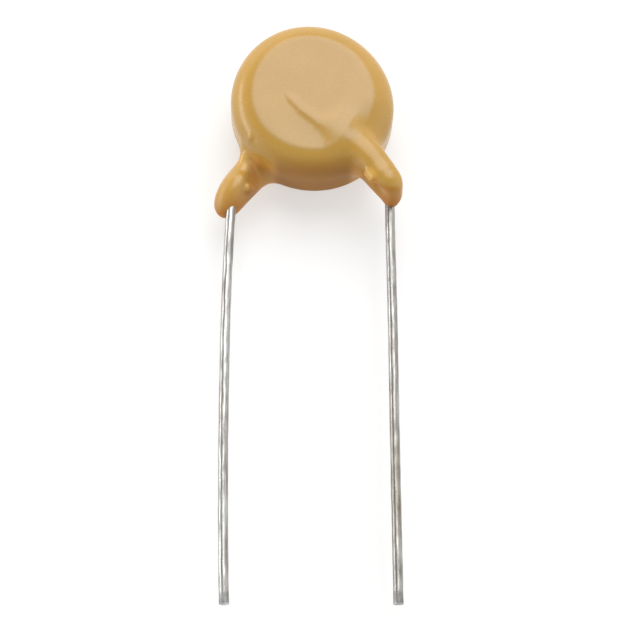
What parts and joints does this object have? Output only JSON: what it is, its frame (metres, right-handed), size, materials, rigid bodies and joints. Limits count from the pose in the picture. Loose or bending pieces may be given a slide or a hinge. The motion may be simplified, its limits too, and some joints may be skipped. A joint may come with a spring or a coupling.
{
  "type": "ceramic disc capacitor",
  "caption": "Round ochre epoxy-coated ceramic disc capacitor whose coating runs down on to two straight parallel tinned wire leads.",
  "frame": {"origin": "midway between the two leads, on their common centre line, at the lowest point of the coating's run-down: the plane that a circuit board comes up to", "axes": "-Y along both leads towards their cut ends, +Y up through the disc, +X from the rear (left) lead to the front (right) lead, +Z out of the disc's front face; the part lies on its rear face"},
  "size_m": [0.0116, 0.0367, 0.005],
  "materials": {
    "epoxy": "semi-gloss ochre dipped epoxy",
    "ceramic": "matt fired barium titanate ceramic",
    "silver": "matt fired silver",
    "tinned_wire": "bright drawn tinned wire with fine die lines",
    "solder": "satin soft solder"
  },
  "bodies": {
    "root": {"coating": "epoxy", "ceramic_disc": "ceramic", "front_electrode": "silver", "rear_electrode": "silver", "front_lead": "tinned_wire", "rear_lead": "tinned_wire", "front_solder": "solder", "rear_solder": "solder"}
  },
  "joints": []
}
